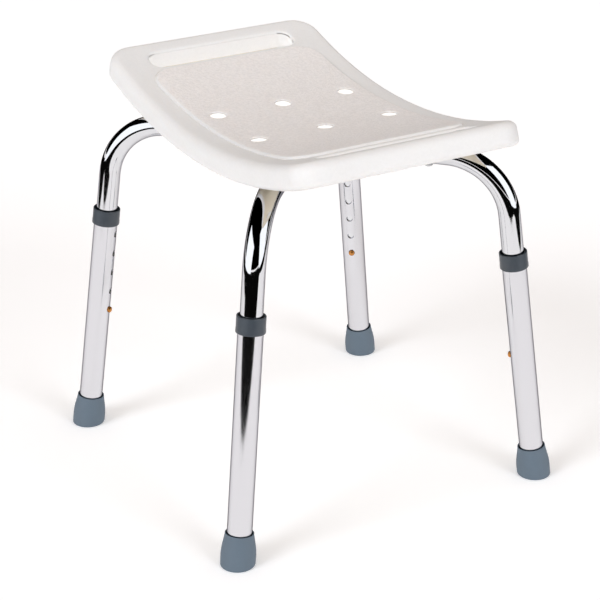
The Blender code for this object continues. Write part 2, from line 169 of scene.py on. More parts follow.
seat_outline = (0, 0, SEAT_LENGTH / 2, SEAT_DEPTH / 2, SEAT_CORNER)
pad_outline = (0, 0, PAD_LENGTH / 2, SEAT_DEPTH / 2 - PAD_MARGIN, PAD_CORNER)
hand_slots = [
    (side * SLOT_CENTRE, 0, SLOT_WIDTH / 2, SEAT_DEPTH * SLOT_SHARE / 2, SLOT_CORNER)
    for side in (-1, 1)
]


def drains(depth):
    """The six upright drain holes, where they pass a depth in the seat."""
    centre = SADDLE_RADIUS * asin(DRAIN_X / (SADDLE_RADIUS + depth))
    round_hole = (DRAIN_RADIUS, DRAIN_RADIUS, DRAIN_RADIUS)
    return [(side * centre, row * DRAIN_Y, *round_hole) for side in (-1, 1) for row in (-1, 0, 1)]


def skin_mesh(loops, lines, holes):
    """Triangles in (s, y) over the seat less its holes, with edges along the given lines."""
    points, edges, kept = [], [], []
    for loop in loops:
        start = len(points)
        points += loop
        edges += [(start + k, start + (k + 1) % len(loop)) for k in range(len(loop))]
    for line in lines:
        start = len(points)
        points += line
        edges += [(start + k, start + k + 1) for k in range(len(line) - 1)]

    def cell(s, y):
        return round(s / (0.5 * GRID)), round(y / (0.5 * GRID))

    taken = {cell(s, y) for s, y in points}
    columns, rows = round(SEAT_LENGTH / GRID), round(SEAT_DEPTH / GRID)
    for i in range(1, columns):
        for j in range(1, rows):
            s, y = (i / columns - 0.5) * SEAT_LENGTH, (j / rows - 0.5) * SEAT_DEPTH
            if cell(s, y) not in taken:
                points.append((s, y))
    points, _, faces, *_ = delaunay_2d_cdt([Vector(p) for p in points], edges, [], 0, 1e-7)
    for face in faces:
        s = sum(points[k].x for k in face) / 3
        y = sum(points[k].y for k in face) / 3
        if distance(seat_outline, s, y) < 0 and all(distance(hole, s, y) > 0 for hole in holes):
            kept.append(face)
    return points, kept


def near_slots_and_drains(holes, slot_roll, drain_roll):
    """The contours that divide the rolled edge of each hole."""
    return [
        contour(hole, offset)
        for hole in holes
        for offset in roll_offsets(slot_roll if hole in hand_slots else drain_roll)
    ]


def top_depth(s, y):
    """How far the top skin is below the saddle. It is negative on the raised pad."""
    pad_in = -distance(pad_outline, s, y)
    depth = roll(-distance(seat_outline, s, y), TOP_ROLL)
    if pad_in >= 0:
        depth -= PAD_RISE - roll(pad_in, PAD_ROLL)
    for hole in hand_slots:
        depth += roll(distance(hole, s, y), SLOT_ROLL)
    for hole in top_drains:
        depth += roll(distance(hole, s, y), DRAIN_ROLL)
    return depth


def bottom_depth(s, y):
    """How far the bottom skin is below the saddle."""
    depth = SEAT_THICKNESS - roll(-distance(seat_outline, s, y), BOTTOM_ROLL)
    for hole in hand_slots:
        depth -= roll(distance(hole, s, y), SLOT_ROLL)
    for hole in bottom_drains:
        depth -= roll(distance(hole, s, y), DRAIN_ROLL)
    return depth


def with_channels(point):
    """The underside's point, raised where a leg tube's channel or the blow pin's mark is."""
    raised = point.copy()
    if hypot(point.x, point.y) < BLOW_PIN_RADIUS:
        raised.z += BLOW_PIN_DEPTH
    for corner in CORNERS:
        run = leg_lines(corner)[3]
        reach = -(point.x * run.x + point.y * run.y)
        aside = point.x * run.y - point.y * run.x
        if abs(aside) < CHANNEL_RADIUS and reach > CHANNEL_START:
            roof = RUN_HEIGHT + sqrt(CHANNEL_RADIUS**2 - aside**2)
            raised.z = max(raised.z, roof)
    return raised


def channel_lines():
    """Lines in (s, y) along and across the channels' walls, in pairs where a wall is upright."""
    lines = []
    shares = (0, 0.25, 0.5, 0.7, 0.85, 0.95, 0.995, 1.015)
    for corner in CORNERS:
        run = leg_lines(corner)[3]
        across = Vector((run.y, -run.x, 0))
        for share in sorted({sign * share for share in shares for sign in (-1, 1)}):
            reaches = [CHANNEL_START + CHANNEL_LENGTH * k / 23 for k in range(24)]
            lines.append([-run * reach + across * CHANNEL_RADIUS * share for reach in reaches])
        for back in (-0.1 * MM, 0.1 * MM):
            at = -run * (CHANNEL_START + back)
            wide = across * CHANNEL_RADIUS * shares[-1]
            lines.append([at - wide + wide * k / 4 for k in range(9)])
    reach = SADDLE_RADIUS + SEAT_THICKNESS
    return [[(SADDLE_RADIUS * asin(p.x / reach), p.y) for p in line] for line in lines]


def finished(name, work, materials, sharp=40):
    """The mesh object for a piece, smooth except along edges sharper than an angle in degrees."""
    bmesh.ops.recalc_face_normals(work, faces=work.faces)
    mesh = bpy.data.meshes.new(name)
    work.to_mesh(mesh)
    work.free()
    for material in materials:
        mesh.materials.append(material)
    mesh.shade_smooth()
    mesh.set_sharp_from_angle(angle=radians(sharp))
    piece = bpy.data.objects.new(name, mesh)
    bpy.context.scene.collection.objects.link(piece)
    return piece


def linear(hex_colour):
    """An sRGB colour such as 'e8e4dc' as the linear colour that shaders take."""
    parts = [int(hex_colour[k : k + 2], 16) / 255 for k in (0, 2, 4)]
    return (*[p / 12.92 if p <= 0.04045 else ((p + 0.055) / 1.055) ** 2.4 for p in parts], 1)


def new_material(name):
    material = bpy.data.materials.new(name)
    material.use_nodes = True
    tree = material.node_tree
    return material, tree, tree.nodes["Principled BSDF"]


def add(tree, kind, settings=(), links=(), **inputs):
    """Add a node with its settings, its input values, and links from (node, output) pairs."""
    made = tree.nodes.new(kind)
    for key, value in dict(settings).items():
        setattr(made, key, value)
    for key, value in inputs.items():
        made.inputs[key.replace("_", " ")].default_value = value
    for key, (source, output) in dict(links).items():
        tree.links.new(source.outputs[output], made.inputs[key])
    return made


def blow_moulded_hdpe(name, tones, grain_height, mottling, glow=0):
    """Off-white polyethylene: waxy, so highlights are broad, with a trace of warm unevenness.

    The glow is painted light: an emission that stands in for the light that comes through a thin wall.
    """
    material, tree, shader = new_material(name)
    shader.inputs["IOR"].default_value = 1.54
    shader.inputs["Subsurface Weight"].default_value = 0.35
    shader.inputs["Subsurface Radius"].default_value = (1, 0.9, 0.8)
    shader.inputs["Subsurface Scale"].default_value = 5 * MM
    place = add(tree, "ShaderNodeTexCoord")
    cloud = add(
        tree, "ShaderNodeTexNoise", links={"Vector": (place, "Object")},
        Scale=1 / (45 * MM), Detail=3, Roughness=0.6,
    )
    fleck = add(
        tree, "ShaderNodeTexNoise", links={"Vector": (place, "Object")},
        Scale=1 / (3.4 * MM), Detail=2, Roughness=0.6,
    )
    tone = add(tree, "ShaderNodeMix", {"data_type": "RGBA"}, {0: (cloud, "Fac")})
    tone.inputs[6].default_value = linear(tones[0])
    tone.inputs[7].default_value = linear(tones[1])
    mottle = add(
        tree, "ShaderNodeMapRange", links={"Value": (fleck, "Fac")},
        From_Min=0.3, From_Max=0.7, To_Min=1 - mottling, To_Max=1 + 0.5 * mottling,
    )
    shade = add(
        tree, "ShaderNodeVectorMath", {"operation": "SCALE"},
        {"Vector": (tone, 2), "Scale": (mottle, "Result")},
    )
    tree.links.new(shade.outputs["Vector"], shader.inputs["Base Color"])
    shader.inputs["Emission Color"].default_value = linear("fffdfa")
    shader.inputs["Emission Strength"].default_value = glow
    pits = add(
        tree, "ShaderNodeTexVoronoi", {"feature": "F1"}, {"Vector": (place, "Object")},
        Scale=1 / (2.2 * MM), Randomness=1,
    )
    flow = add(
        tree, "ShaderNodeTexNoise", links={"Vector": (place, "Object")},
        Scale=1 / (9 * MM), Detail=2,
    )
    wave = add(
        tree, "ShaderNodeBump", links={"Height": (flow, "Fac")}, Strength=0.5, Distance=0.08 * MM
    )
    grain = add(
        tree, "ShaderNodeBump", links={"Height": (pits, "Distance"), "Normal": (wave, "Normal")},
        Strength=1, Distance=grain_height,
    )
    tree.links.new(grain.outputs["Normal"], shader.inputs["Normal"])
    rough = add(
        tree, "ShaderNodeMapRange", links={"Value": (fleck, "Fac")},
        From_Min=0.3, From_Max=0.7, To_Min=0.46, To_Max=0.58,
    )
    tree.links.new(rough.outputs["Result"], shader.inputs["Roughness"])
    return material


top_drains, bottom_drains = drains(-PAD_RISE), drains(SEAT_THICKNESS)
outline_rings = [contour(seat_outline, -offset) for offset in roll_offsets(TOP_ROLL)]
pad_foot = contour(pad_outline, 0.05 * MM)
pad_rings = [contour(pad_outline, -offset) for offset in roll_offsets(PAD_ROLL)]
top_holes = hand_slots + top_drains
top_loops = outline_rings + [pad_foot] + pad_rings
top_loops += near_slots_and_drains(top_holes, SLOT_ROLL, DRAIN_ROLL)
top_points, top_faces = skin_mesh(top_loops, [], top_holes)

bottom_holes = hand_slots + bottom_drains
bottom_loops = [contour(seat_outline, -offset) for offset in roll_offsets(BOTTOM_ROLL)]
bottom_loops += near_slots_and_drains(bottom_holes, SLOT_ROLL, DRAIN_ROLL)
pin_mark = (0, 0, BLOW_PIN_RADIUS, BLOW_PIN_RADIUS, BLOW_PIN_RADIUS)
bottom_loops += [contour(pin_mark, offset) for offset in (-0.1 * MM, 0.2 * MM)]
bottom_points, bottom_faces = skin_mesh(bottom_loops, channel_lines(), bottom_holes)

work = bmesh.new()
SMOOTH, GRAINED, SLOT_WALL, DRAIN_WALL, UNDERSIDE = range(5)
top_verts = [work.verts.new(on_saddle(p.x, p.y, top_depth(p.x, p.y))) for p in top_points]
for face in top_faces:
    made = work.faces.new([top_verts[k] for k in face])
    middle = sum((top_points[k] for k in face), Vector((0, 0))) / 3
    made.material_index = GRAINED if -distance(pad_outline, *middle) > 0.7 * PAD_ROLL else SMOOTH
bottom_verts = [
    work.verts.new(with_channels(on_saddle(p.x, p.y, bottom_depth(p.x, p.y))))
    for p in bottom_points
]
for face in bottom_faces:
    made = work.faces.new([bottom_verts[k] for k in reversed(face)])
    middle = sum((bottom_points[k] for k in face), Vector((0, 0))) / 3
    made.material_index = UNDERSIDE if -distance(seat_outline, *middle) > BOTTOM_ROLL else SMOOTH


def wall(upper, lower, material_index):
    """Faces that join a contour of the top skin to the matching one of the bottom skin."""
    def find(points, verts, loop):
        at = {(round(p.x / MM, 2), round(p.y / MM, 2)): v for p, v in zip(points, verts)}
        return [at[round(s / MM, 2), round(y / MM, 2)] for s, y in loop]

    above, below = find(top_points, top_verts, upper), find(bottom_points, bottom_verts, lower)
    for k in range(len(above)):
        after = (k + 1) % len(above)
        made = work.faces.new((above[k], above[after], below[after], below[k]))
        made.material_index = material_index


wall(contour(seat_outline, 0), contour(seat_outline, 0), SMOOTH)
for upper, lower in zip(top_holes, bottom_holes):
    wall(contour(upper, 0), contour(lower, 0), SLOT_WALL if upper in hand_slots else DRAIN_WALL)
loose = [v for v in work.verts if not v.link_faces]
bmesh.ops.delete(work, geom=loose, context="VERTS")
SMOOTH_TONES = ("e9e7e4", "eeece9")
GRAINED_TONES = ("f0ebe7", "f5f0ec")
# The underside tones hold a painted warm tint that stands in for light that has come through the panel.
UNDERSIDE_PAINTED_WARM_TONES = ("e6dbc3", "eadfc9")
GRAIN_HEIGHT = 0.28 * MM
# The slot and drain walls get painted light, an emission that stands in for light through their
# thin walls, so they are brighter than the skins.
# The underside is painted cream: a warm tint that stands in for the warmer light that has come through the whole
# panel.
seat_materials = [
    blow_moulded_hdpe("hdpe_smooth", SMOOTH_TONES, 0, 0.02),
    blow_moulded_hdpe("hdpe_grained", GRAINED_TONES, GRAIN_HEIGHT, 0.08),
    blow_moulded_hdpe("hdpe_slot_wall_painted_glow", SMOOTH_TONES, 0, 0.02, glow=0.10),
    blow_moulded_hdpe("hdpe_drain_wall_painted_glow", SMOOTH_TONES, 0, 0.02, glow=0.24),
    blow_moulded_hdpe("hdpe_underside_painted_warm", UNDERSIDE_PAINTED_WARM_TONES, 0, 0.02),
]
seat_shell = finished("seat_shell", work, seat_materials)
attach(seat_shell, "frame")
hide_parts("seat")


# ---------------------------------------------------------------- upper tubes
# Four lengths of 25.4 mm steel tube, each bent once and chrome plated. The level end lies in a
# channel under the seat, and the shank goes down inside the leg.

UPPER_RADIUS = 12.7 * MM
UPPER_WALL = 1.2 * MM
BEND_RADIUS = 75 * MM
BEND_STEPS = 28
RUN_END = 30 * MM
SHANK_END = 116 * MM
ROUND = 64


def circle(centre, across, along, radius, sides=ROUND):
    turns = [2 * pi * k / sides for k in range(sides)]
    return [centre + across * radius * cos(turn) + along * radius * sin(turn) for turn in turns]


def join_rings(work, rings, closed):
    """Faces between rings of points, with the last joined to the first or both ends capped."""
    made = [[work.verts.new(point) for point in ring] for ring in rings]
    count = len(rings[0])
    for lower, upper in zip(made, made[1:] + made[:1] if closed else made[1:]):
        for k in range(count):
            after = (k + 1) % count
            work.faces.new((lower[k], lower[after], upper[after], upper[k]))
    if not closed:
        work.faces.new(made[0][::-1])
        work.faces.new(made[-1])


def leg_frame(corner):
    """A leg's foot and upward axis, and its sideways and inward directions, square to the axis."""
    foot, axis, _, run = leg_lines(corner)
    side = axis.cross(run).normalized()
    return foot, axis, side, side.cross(axis)


def chrome_plate():
    """Bright nickel-chrome plate on polished tube: a near mirror, with painted shade at its edges."""
    material, tree, shader = new_material("chrome_plated_steel")
    shader.inputs["Metallic"].default_value = 1
    shader.inputs["Base Color"].default_value = linear("dfe0e3")
    # The dark specular tint is painted shade: it darkens what the tube's edges mirror.
    shader.inputs["Specular Tint"].default_value = linear("6c6c72")
    place = add(tree, "ShaderNodeTexCoord")
    haze = add(
        tree, "ShaderNodeTexNoise", links={"Vector": (place, "Object")},
        Scale=1 / (14 * MM), Detail=3,
    )
    rough = add(
        tree, "ShaderNodeMapRange", links={"Value": (haze, "Fac")},
        From_Min=0.35, From_Max=0.7, To_Min=0.035, To_Max=0.075,
    )
    tree.links.new(rough.outputs["Result"], shader.inputs["Roughness"])
    return material


chrome = chrome_plate()
for corner in CORNERS:
    foot, axis, side, inward = leg_frame(corner)
    knee, run = leg_lines(corner)[2:]
    bend = axis.angle(run)
    bend_start = knee - axis * BEND_RADIUS * tan(bend / 2)
    centre = bend_start + inward * BEND_RADIUS
    path = [(foot + axis * SHANK_END, axis)]
    for k in range(BEND_STEPS + 1):
        turn = bend * k / BEND_STEPS
        at = centre + (axis * sin(turn) - inward * cos(turn)) * BEND_RADIUS
        path.append((at, axis * cos(turn) + inward * sin(turn)))
    path.append((Vector((0, 0, RUN_HEIGHT)) - run * RUN_END, run))
    work = bmesh.new()
    skins = [
        [circle(at, side.cross(heading), side, radius) for at, heading in path]
        for radius in (UPPER_RADIUS, UPPER_RADIUS - UPPER_WALL)
    ]
    join_rings(work, skins[0] + skins[1][::-1], closed=True)
    tube = finished(f"upper_tube_bent_{corner}", work, [chrome])
    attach(tube, "frame")
    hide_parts(f"upper_tube_{corner}")


# ---------------------------------------------------------------- end plugs
# A moulded black polyethylene cap is pressed into the inner end of each upper tube. Its small
# flange covers the tube's cut edge under the seat.

PLUG_RADIUS = UPPER_RADIUS - 0.3 * MM
PLUG_FLANGE = 2 * MM
PLUG_LENGTH = 10 * MM
PLUG_EDGE = 1.2 * MM


def turned(name, profile, foot, axis, across, materials, closed=False, sides=ROUND):
    """A piece turned about an axis from a profile of (radius, distance along the axis)."""
    work = bmesh.new()
    along = axis.cross(across)
    rings = [circle(foot + axis * high, across, along, radius, sides) for radius, high in profile]
    join_rings(work, rings, closed)
    return finished(name, work, materials)


def moulded_plastic(name, hex_colour, roughness, grain):
    """Injection-moulded plastic: a fine spark-eroded mould texture under a soft sheen."""
    material, tree, shader = new_material(name)
    shader.inputs["IOR"].default_value = 1.49
    place = add(tree, "ShaderNodeTexCoord")
    spark = add(
        tree, "ShaderNodeTexNoise", links={"Vector": (place, "Object")},
        Scale=1 / (1.2 * MM), Detail=3,
    )
    tone = add(
        tree, "ShaderNodeMapRange", links={"Value": (spark, "Fac")},
        From_Min=0.3, From_Max=0.7, To_Min=0.93, To_Max=1.07,
    )
    shade = add(tree, "ShaderNodeVectorMath", {"operation": "SCALE"}, {"Scale": (tone, "Result")})
    shade.inputs["Vector"].default_value = linear(hex_colour)[:3]
    tree.links.new(shade.outputs["Vector"], shader.inputs["Base Color"])
    texture = add(
        tree, "ShaderNodeBump", links={"Height": (spark, "Fac")}, Strength=1, Distance=grain
    )
    tree.links.new(texture.outputs["Normal"], shader.inputs["Normal"])
    rough = add(
        tree, "ShaderNodeMapRange", links={"Value": (spark, "Fac")},
        From_Min=0.3, From_Max=0.7, To_Min=roughness - 0.05, To_Max=roughness + 0.05,
    )
    tree.links.new(rough.outputs["Result"], shader.inputs["Roughness"])
    return material


plug_black = moulded_plastic("moulded_black_polyethylene", "2b2b2d", 0.5, 0.05 * MM)
for corner in CORNERS:
    run = leg_lines(corner)[3]
    tube_end = Vector((0, 0, RUN_HEIGHT)) - run * RUN_END
    bore = UPPER_RADIUS - UPPER_WALL - 0.3 * MM
    turns = [pi / 2 * k / 5 for k in range(6)]
    profile = [(bore - 1 * MM, -PLUG_LENGTH), (bore, 1 * MM - PLUG_LENGTH)]
    profile += [(bore, 0.2 * MM), (PLUG_RADIUS, 0.2 * MM)]
    profile += [
        (PLUG_RADIUS - PLUG_EDGE * (1 - cos(turn)), PLUG_FLANGE - PLUG_EDGE * (1 - sin(turn)))
        for turn in turns
    ]
    profile += [(PLUG_RADIUS - 5 * MM, PLUG_FLANGE + 0.2 * MM), (1 * MM, PLUG_FLANGE + 0.3 * MM)]
    level = run.cross(Vector((0, 0, 1)))
    plug = turned(f"end_cap_{corner}", profile, tube_end, run, level, [plug_black])
    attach(plug, "frame")
    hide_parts(f"end_plug_{corner}")


# ---------------------------------------------------------------- seat fixings
# Two M6 button-head screws go up through each level tube into brass inserts moulded in the seat.
# The inserts are inside the panel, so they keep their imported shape.

SCREW_RADIUS = 2.9 * MM
HEAD_RADIUS = 5.6 * MM
HEAD_HEIGHT = 3.2 * MM
SOCKET_FLATS = 4 * MM
SOCKET_DEPTH = 2 * MM
SCREW_SIDES = 48


def bright_metal(name, hex_colour, rough_low, rough_high, mark_size):
    """A plain metal surface with faint uneven handling marks that only show in its highlights."""
    material, tree, shader = new_material(name)
    shader.inputs["Metallic"].default_value = 1
    place = add(tree, "ShaderNodeTexCoord")
    marks = add(
        tree, "ShaderNodeTexNoise", links={"Vector": (place, "Object")},
        Scale=1 / mark_size, Detail=4,
    )
    tone = add(
        tree, "ShaderNodeMapRange", links={"Value": (marks, "Fac")},
        From_Min=0.3, From_Max=0.7, To_Min=0.92, To_Max=1.03,
    )
    shade = add(tree, "ShaderNodeVectorMath", {"operation": "SCALE"}, {"Scale": (tone, "Result")})
    shade.inputs["Vector"].default_value = linear(hex_colour)[:3]
    tree.links.new(shade.outputs["Vector"], shader.inputs["Base Color"])
    rough = add(
        tree, "ShaderNodeMapRange", links={"Value": (marks, "Fac")},
        From_Min=0.3, From_Max=0.7, To_Min=rough_low, To_Max=rough_high,
    )
    tree.links.new(rough.outputs["Result"], shader.inputs["Roughness"])
    return material


zinc = bright_metal("zinc_plated_steel", "c6c8c9", 0.25, 0.42, 3 * MM)
brass = bright_metal("turned_brass", "c98a4a", 0.2, 0.34, 2 * MM)


def socket(centre, flats):
    """A hexagon with as many points as a screw's round sections."""
    points = []
    for k in range(SCREW_SIDES):
        turn = 2 * pi * k / SCREW_SIDES
        reach = flats / 2 / cos((turn + pi / 6) % (pi / 3) - pi / 6)
        points.append(centre + Vector((cos(turn), sin(turn), 0)) * reach)
    return points


for corner in CORNERS:
    for number in (1, 2):
        low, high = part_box(f"seat_screw_{corner}_{number}")
        at = Vector(((low.x + high.x) / 2, (low.y + high.y) / 2, low.z + HEAD_HEIGHT))
        x_way, y_way, up = Vector((1, 0, 0)), Vector((0, 1, 0)), Vector((0, 0, 1))
        rings = [
            circle(at - up * (HEAD_HEIGHT - SOCKET_DEPTH), x_way, y_way, 0.2 * MM, SCREW_SIDES),
            socket(at - up * (HEAD_HEIGHT - SOCKET_DEPTH), SOCKET_FLATS),
            socket(at - up * (HEAD_HEIGHT - 0.2 * MM), SOCKET_FLATS),
            socket(at - up * HEAD_HEIGHT, SOCKET_FLATS + 0.4 * MM),
        ]
        for k in range(7):
            turn = pi / 2 * k / 6
            radius = 0.55 * HEAD_RADIUS + 0.45 * HEAD_RADIUS * sin(turn)
            level = at - up * HEAD_HEIGHT * cos(turn)
            rings.append(circle(level, x_way, y_way, radius, SCREW_SIDES))
        for radius, rise in ((SCREW_RADIUS, 0), (SCREW_RADIUS, high.z - at.z)):
            rings.append(circle(at + up * rise, x_way, y_way, radius, SCREW_SIDES))
        work = bmesh.new()
        join_rings(work, rings, closed=False)
        screw = finished(f"button_head_screw_{corner}_{number}", work, [zinc])
        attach(screw, "frame")
        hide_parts(f"seat_screw_{corner}_{number}")
        frame["nodes"][f"insert_{corner}_{number}"].data.materials[0] = brass


# ---------------------------------------------------------------- snap buttons
# A brass pin with a domed head stands through the leg's hole and locks its height. A bent strip of
# spring steel inside the upper tube pushes it out, and stays hidden there.

BUTTON_RADIUS = 3.8 * MM
FLANGE_RADIUS = 5.0 * MM
FLANGE_LOW = 8.6 * MM
FLANGE_HEIGHT = 1.0 * MM
DOME = 2.2 * MM
LEG_RADIUS = 14.3 * MM
BUTTON_PROUD = 3.5 * MM

spring_strip = bright_metal("spring_steel_strip", "8f9296", 0.25, 0.4, 4 * MM)
for corner in CORNERS:
    foot, axis, _, inward = leg_frame(corner)
    low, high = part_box(f"snap_button_{corner}")
    at = foot + axis * ((low + high) / 2 - foot).dot(axis)
    tip, flange_top = LEG_RADIUS + BUTTON_PROUD, FLANGE_LOW + FLANGE_HEIGHT
    profile = [(1 * MM, FLANGE_LOW), (FLANGE_RADIUS, FLANGE_LOW)]
    profile += [(FLANGE_RADIUS, flange_top), (BUTTON_RADIUS, flange_top)]
    for k in range(8):
        turn = pi / 2 * k / 8
        profile.append((BUTTON_RADIUS * cos(turn), tip - DOME * (1 - sin(turn))))
    profile.append((0.3 * MM, tip))
    button = turned(f"snap_pin_{corner}", profile, at, inward, axis, [brass], sides=40)
    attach(button, f"button_{corner}")
    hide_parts(f"snap_button_{corner}")
    frame["nodes"][f"spring_clip_{corner}"].data.materials[0] = spring_strip


# ---------------------------------------------------------------- lower tubes
# Four lengths of 28.6 mm aluminium tube, drawn and bright anodised, with a row of five holes
# punched on the side that faces the middle of the stool.

LEG_WALL = 1.3 * MM
HOLE_PITCH = 25.4 * MM
HOLE_COUNT = 5
HOLE_RADIUS = 4.1 * MM
PUNCH_REACH = (8 * MM, 20 * MM)
TUBE_BEVEL = 0.3 * MM


def bright_anodised_aluminium():
    """Drawn tube under a clear anodic film: a soft, streaked mirror, with painted shade at its edges."""
    material, tree, shader = new_material("bright_anodised_aluminium")
    shader.inputs["Metallic"].default_value = 1
    shader.inputs["Base Color"].default_value = linear("dddde1")
    shader.inputs["Anisotropic"].default_value = 0.3
    # The dark specular tint is painted shade: it darkens what the tube's edges mirror.
    shader.inputs["Specular Tint"].default_value = linear("5c5c62")
    place = add(tree, "ShaderNodeTexCoord")
    stretch = add(tree, "ShaderNodeMapping", links={"Vector": (place, "Object")})
    stretch.inputs["Scale"].default_value = (1 / (1.4 * MM), 1 / (1.4 * MM), 1 / (60 * MM))
    streaks = add(
        tree, "ShaderNodeTexNoise", links={"Vector": (stretch, "Vector")}, Scale=1, Detail=3
    )
    drawn = add(
        tree, "ShaderNodeBump", links={"Height": (streaks, "Fac")}, Strength=1, Distance=0.004 * MM
    )
    tree.links.new(drawn.outputs["Normal"], shader.inputs["Normal"])
    rough = add(
        tree, "ShaderNodeMapRange", links={"Value": (streaks, "Fac")},
        From_Min=0.3, From_Max=0.7, To_Min=0.09, To_Max=0.14,
    )
    tree.links.new(rough.outputs["Result"], shader.inputs["Roughness"])
    return material


anodised = bright_anodised_aluminium()
for corner in CORNERS:
    foot, axis, side, inward = leg_frame(corner)
    low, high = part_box(f"lower_tube_{corner}")
    spread = LEG_RADIUS * sqrt(1 - axis.z**2)
    tube_low, tube_high = (low.z + spread) / axis.z, (high.z - spread) / axis.z
    profile = [
        (LEG_RADIUS, tube_low + TUBE_BEVEL),
        (LEG_RADIUS, tube_high - TUBE_BEVEL),
        (LEG_RADIUS - TUBE_BEVEL, tube_high),
        (LEG_RADIUS - LEG_WALL, tube_high),
        (LEG_RADIUS - LEG_WALL, tube_low),
        (LEG_RADIUS - TUBE_BEVEL, tube_low),
    ]
    tube = turned(f"leg_tube_{corner}", profile, foot, axis, inward, [anodised], closed=True)
    button_low, button_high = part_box(f"snap_button_{corner}")
    first = ((button_low + button_high) / 2 - foot).dot(axis)
    work = bmesh.new()
    for k in range(HOLE_COUNT):
        centre = foot + axis * (first + k * HOLE_PITCH)
        ends = [
            circle(centre + inward * reach, axis, side, HOLE_RADIUS, 32) for reach in PUNCH_REACH
        ]
        join_rings(work, ends, closed=False)
    punch = finished(f"punch_{corner}", work, [anodised])
    cut = tube.modifiers.new("punched holes", "BOOLEAN")
    cut.operation = "DIFFERENCE"
    cut.solver = "EXACT"
    cut.object = punch
    bpy.context.view_layer.update()
    view = bpy.context.evaluated_depsgraph_get()
    mesh = bpy.data.meshes.new_from_object(tube.evaluated_get(view))
    tube.modifiers.clear()
    tube.data = mesh
    bpy.data.objects.remove(punch)
    mesh.shade_smooth()
    mesh.set_sharp_from_angle(angle=radians(40))
    # The drawn walls keep the shading of a true cylinder round the punched holes.
    normals = []
    for face in mesh.polygons:
        for k in face.vertices:
            offset = mesh.vertices[k].co - foot
            radial = (offset - axis * offset.dot(axis)).normalized()
            along_wall = abs(face.normal.dot(axis)) < 0.1
            normals.append(radial if along_wall and face.normal.dot(radial) > 0.99 else (0, 0, 0))
    mesh.normals_split_custom_set(normals)
    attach(tube, f"leg_{corner}")
    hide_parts(f"lower_tube_{corner}")


# ---------------------------------------------------------------- collars
# A dark grey moulded ring pressed over the top of each lower tube, with an open mouth round the
# upper tube that keeps it from rattling.

COLLAR_HEIGHT = 19.5 * MM
COLLAR_OUT = LEG_RADIUS + 2.4 * MM
COLLAR_STEP = 1.2 * MM
COLLAR_MOUTH = 3.2 * MM


def rounded(centre_radius, centre_height, size, start, end, steps=5):
    """Profile points round a small arc, from one angle to another in degrees."""
    turns = [radians(start + (end - start) * k / steps) for k in range(steps + 1)]
    return [(centre_radius + size * cos(turn), centre_height + size * sin(turn)) for turn in turns]


collar_grey = moulded_plastic("moulded_grey_nylon", "3f464d", 0.34, 0.03 * MM)
for corner in CORNERS:
    foot, axis, _, inward = leg_frame(corner)
    low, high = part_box(f"collar_{corner}")
    base = (low.z + high.z) / 2 / axis.z - COLLAR_HEIGHT / 2
    top = base + COLLAR_HEIGHT
    bore = LEG_RADIUS + 0.3 * MM
    grip = UPPER_RADIUS + 0.3 * MM
    profile = [(bore, base)]
    profile += rounded(COLLAR_OUT - 0.8 * MM, base + 0.8 * MM, 0.8 * MM, -90, 0)
    profile += [(COLLAR_OUT, base + 0.22 * COLLAR_HEIGHT)]
    profile += [(COLLAR_OUT - 0.25 * MM, base + 0.3 * COLLAR_HEIGHT)]
    profile += rounded(COLLAR_OUT - 1.15 * MM, top - 0.9 * MM, 0.9 * MM, 0, 90)
    profile += rounded(bore + 0.5 * MM, top - 0.5 * MM, 0.5 * MM, 90, 180, 3)
    profile += [
        (bore, top - COLLAR_MOUTH),
        (grip, top - COLLAR_MOUTH),
        (grip, top - COLLAR_MOUTH - COLLAR_STEP),
        (bore, top - COLLAR_MOUTH - COLLAR_STEP),
    ]
    collar = turned(f"leg_collar_{corner}", profile, foot, axis, inward, [collar_grey], closed=True)
    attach(collar, f"leg_{corner}")
    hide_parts(f"collar_{corner}")


# ---------------------------------------------------------------- rubber tips
# A moulded grey rubber tip is pushed over the foot of each leg. It swells towards the floor, its
# sole has ring treads, and a zinc-plated washer inside keeps the tube from cutting through.

TIP_HEIGHT = 38.8 * MM
TIP_WALL = 1.9 * MM
TIP_MOUTH = 0.9 * MM
TIP_FLARE = 3.6 * MM
TIP_FLOOR = 8 * MM
TREADS = 3
TREAD_PITCH = 4.6 * MM
TREAD_DEPTH = 1.2 * MM


def moulded_rubber():
    """Blue-grey compression-moulded rubber: dull, faintly dusty, with no clear reflections."""
    material, tree, shader = new_material("moulded_grey_rubber")
    shader.inputs["IOR"].default_value = 1.52
    place = add(tree, "ShaderNodeTexCoord")
    dust = add(
        tree, "ShaderNodeTexNoise", links={"Vector": (place, "Object")},
        Scale=1 / (7 * MM), Detail=5,
    )
    tone = add(tree, "ShaderNodeMix", {"data_type": "RGBA"}, {0: (dust, "Fac")})
    tone.inputs[6].default_value = linear("5a6975")
    tone.inputs[7].default_value = linear("64727e")
    tree.links.new(tone.outputs[2], shader.inputs["Base Color"])
    skin = add(
        tree, "ShaderNodeTexNoise", links={"Vector": (place, "Object")},
        Scale=1 / (0.9 * MM), Detail=3,
    )
    bump = add(
        tree, "ShaderNodeBump", links={"Height": (skin, "Fac")}, Strength=1, Distance=0.05 * MM
    )
    tree.links.new(bump.outputs["Normal"], shader.inputs["Normal"])
    rough = add(
        tree, "ShaderNodeMapRange", links={"Value": (dust, "Fac")},
        From_Min=0.3, From_Max=0.7, To_Min=0.58, To_Max=0.72,
    )
    tree.links.new(rough.outputs["Result"], shader.inputs["Roughness"])
    return material


